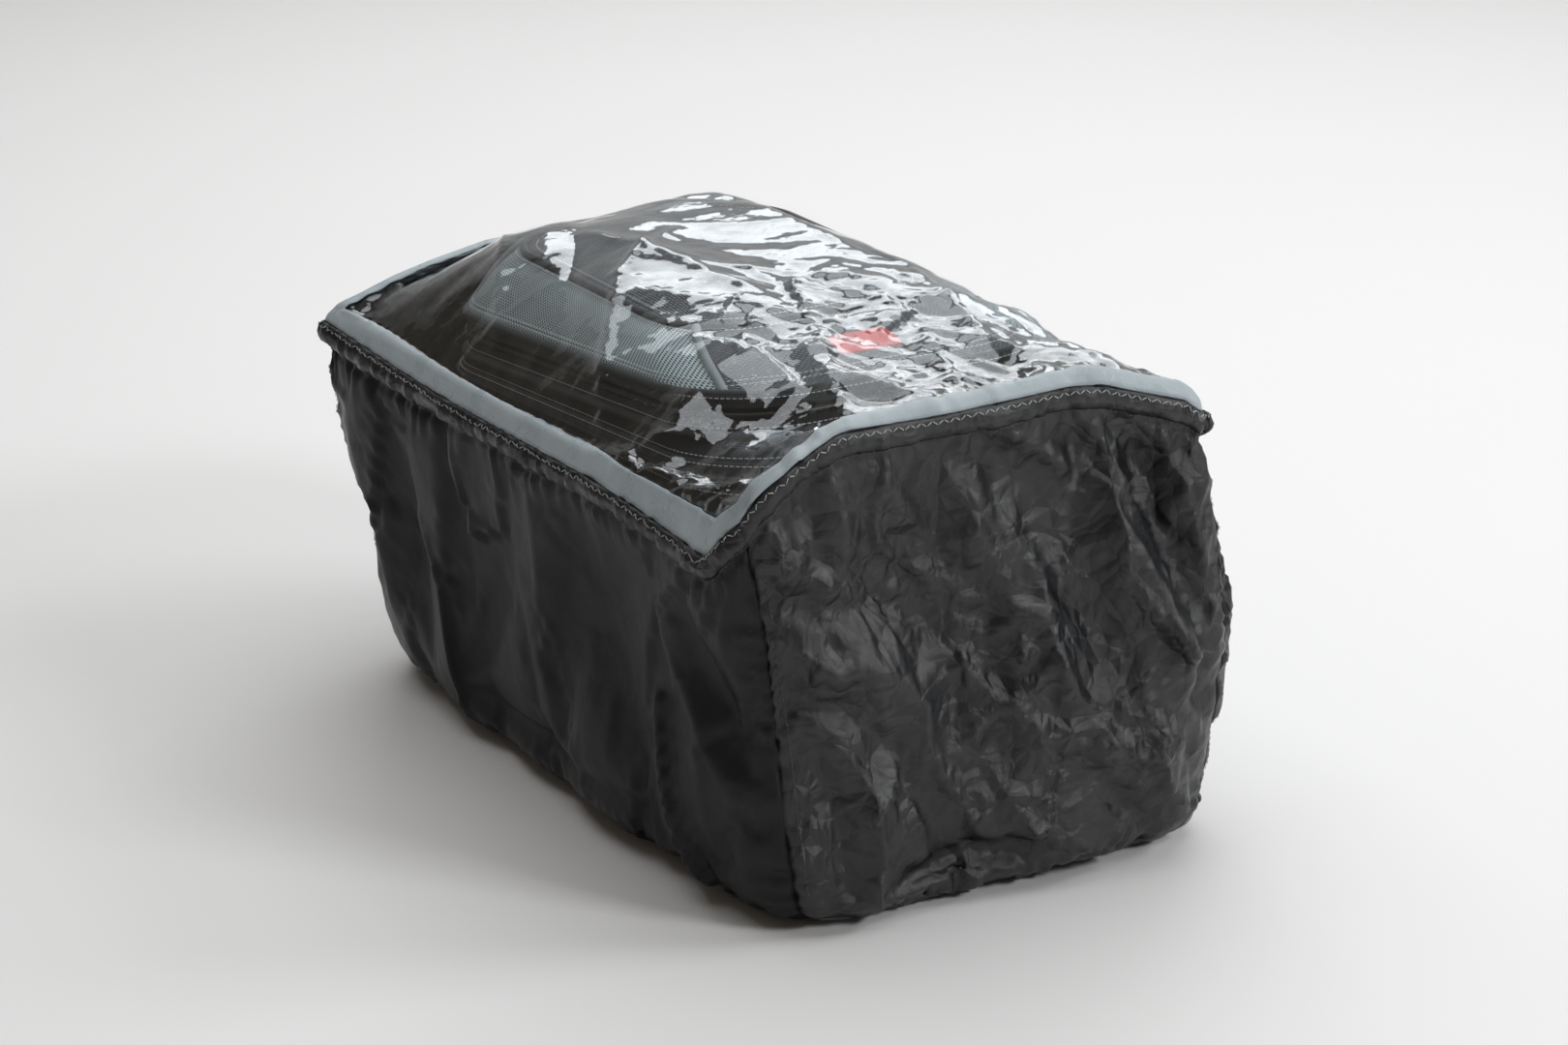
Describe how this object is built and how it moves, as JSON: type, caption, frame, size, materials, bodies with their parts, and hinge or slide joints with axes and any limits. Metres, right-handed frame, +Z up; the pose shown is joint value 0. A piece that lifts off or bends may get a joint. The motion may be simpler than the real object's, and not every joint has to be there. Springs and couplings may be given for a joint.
{
  "type": "motorcycle tank bag",
  "caption": "soft motorcycle tank bag wearing its fitted rain cover, with a clear domed film window, black coated skirt, zipped domed lid and quick-release ring under the base",
  "frame": {"origin": "centre of the bounding box on the plane the bag stands on", "axes": "+X towards the handlebar end, -Y the left side, +Z up"},
  "size_m": [0.4689, 0.2831, 0.277],
  "materials": {
    "anti_slip_rubber": "fine grip texture, matte",
    "moulded_board": "moulded polyethylene sheet",
    "black_nylon": "dense woven nylon, low sheen",
    "grey_lining": "thin coated polyester lining",
    "black_piping": "fabric covered cord piping",
    "grey_piping": "grey fabric covered piping",
    "zip_tape": "ribbed woven zip tape",
    "zip_teeth": "nylon coil",
    "black_webbing": "polypropylene webbing",
    "grip_padding": "padded neoprene sleeve",
    "ring_plastic": "glass filled nylon",
    "steel_fastener": "zinc plated",
    "lid_foam": "moulded EVA foam faced with fabric",
    "woven_top": "coarse black woven fabric, slight gloss",
    "air_mesh": "grey three dimensional air mesh",
    "red_patch": "plain red rubber patch",
    "clear_film": "clear glossy PVC film, wrinkled",
    "frosted_weld": "frosted high frequency weld",
    "coated_nylon": "thin coated rain nylon with soft sheen",
    "seam_tape": "taped seam",
    "elastic": "covered elastic braid",
    "black_metal": "black painted zinc alloy"
  },
  "bodies": {
    "bag": {"base_pad": "anti_slip_rubber", "base_board": "moulded_board", "wall_shell": "black_nylon", "lining": "grey_lining", "wall_piping": "black_piping", "expansion_zip_tape": "zip_tape", "expansion_zip_teeth": "zip_teeth", "main_zip_lower_tape": "zip_tape", "main_zip_teeth": "zip_teeth", "carry_handle": "black_webbing", "handle_grip": "grip_padding", "handle_anchors": "black_nylon", "receiver_ring": "ring_plastic", "backing_plate": "ring_plastic", "ring_screws": "steel_fastener", "ring_nuts": "steel_fastener"},
    "lid": {"lid_shell": "lid_foam", "lid_top_panel": "woven_top", "lid_mesh_left": "air_mesh", "lid_mesh_right": "air_mesh", "lid_front_panel": "woven_top", "lid_rear_panel": "woven_top", "lid_edge_piping": "black_piping", "lid_crown_piping": "black_piping", "lid_corner_piping": "grey_piping", "main_zip_upper_tape": "zip_tape", "lid_hinge_flap": "black_nylon", "lid_patch": "red_patch"},
    "rain_cover": {"cover_window": "clear_film", "window_weld_band": "frosted_weld", "skirt_left": "coated_nylon", "skirt_right": "coated_nylon", "skirt_front": "coated_nylon", "skirt_rear": "coated_nylon", "skirt_top_hem": "coated_nylon", "cover_corner_seams": "seam_tape", "hem_casing": "seam_tape", "hem_elastic": "elastic"},
    "main_slider_left": {"main_slider_left": "black_metal"},
    "main_slider_right": {"main_slider_right": "black_metal"},
    "expansion_slider": {"expansion_slider": "black_metal"},
    "main_pull_left": {"main_pull_left": "black_metal"},
    "main_pull_right": {"main_pull_right": "black_metal"},
    "expansion_pull": {"expansion_pull": "black_metal"},
    "latch_bolt": {"latch_bolt": "ring_plastic"}
  },
  "joints": [
    {"name": "cover_lift", "type": "slide", "parent": "bag", "child": "rain_cover", "axis": [0, 0, 1], "range_m": [0, 0.6]},
    {"name": "lid_open", "type": "hinge", "parent": "bag", "child": "lid", "pos_m": [-0.1862, 0.008, 0.1975], "axis": [0, -1, 0], "range_deg": [0, 70]},
    {"name": "main_slider_left_run", "type": "slide", "parent": "bag", "child": "main_slider_left", "axis": [0, -1, 0], "range_m": [0, 0.034]},
    {"name": "main_slider_right_run", "type": "slide", "parent": "bag", "child": "main_slider_right", "axis": [0, 1, 0], "range_m": [0, 0.034]},
    {"name": "expansion_slider_run", "type": "slide", "parent": "bag", "child": "expansion_slider", "axis": [0, 1, 0], "range_m": [-0.034, 0.034]},
    {"name": "main_pull_left_swing", "type": "hinge", "parent": "main_slider_left", "child": "main_pull_left", "pos_m": [0.13561, -0.001, 0.23495], "axis": [0, -1, 0], "range_deg": [0, 90]},
    {"name": "main_pull_right_swing", "type": "hinge", "parent": "main_slider_right", "child": "main_pull_right", "pos_m": [0.13561, 0.017, 0.23495], "axis": [0, -1, 0], "range_deg": [0, 90]},
    {"name": "expansion_pull_swing", "type": "hinge", "parent": "expansion_slider", "child": "expansion_pull", "pos_m": [0.15017, 0.008, 0.20977], "axis": [0, -1, 0], "range_deg": [0, 90]},
    {"name": "latch_bolt_throw", "type": "slide", "parent": "bag", "child": "latch_bolt", "axis": [-1, 0, 0], "range_m": [0, 0.0042]}
  ],
  "couplings": [
    {"joint": "lid_open", "follows": "cover_lift", "rad_per_m": 2.03}
  ]
}
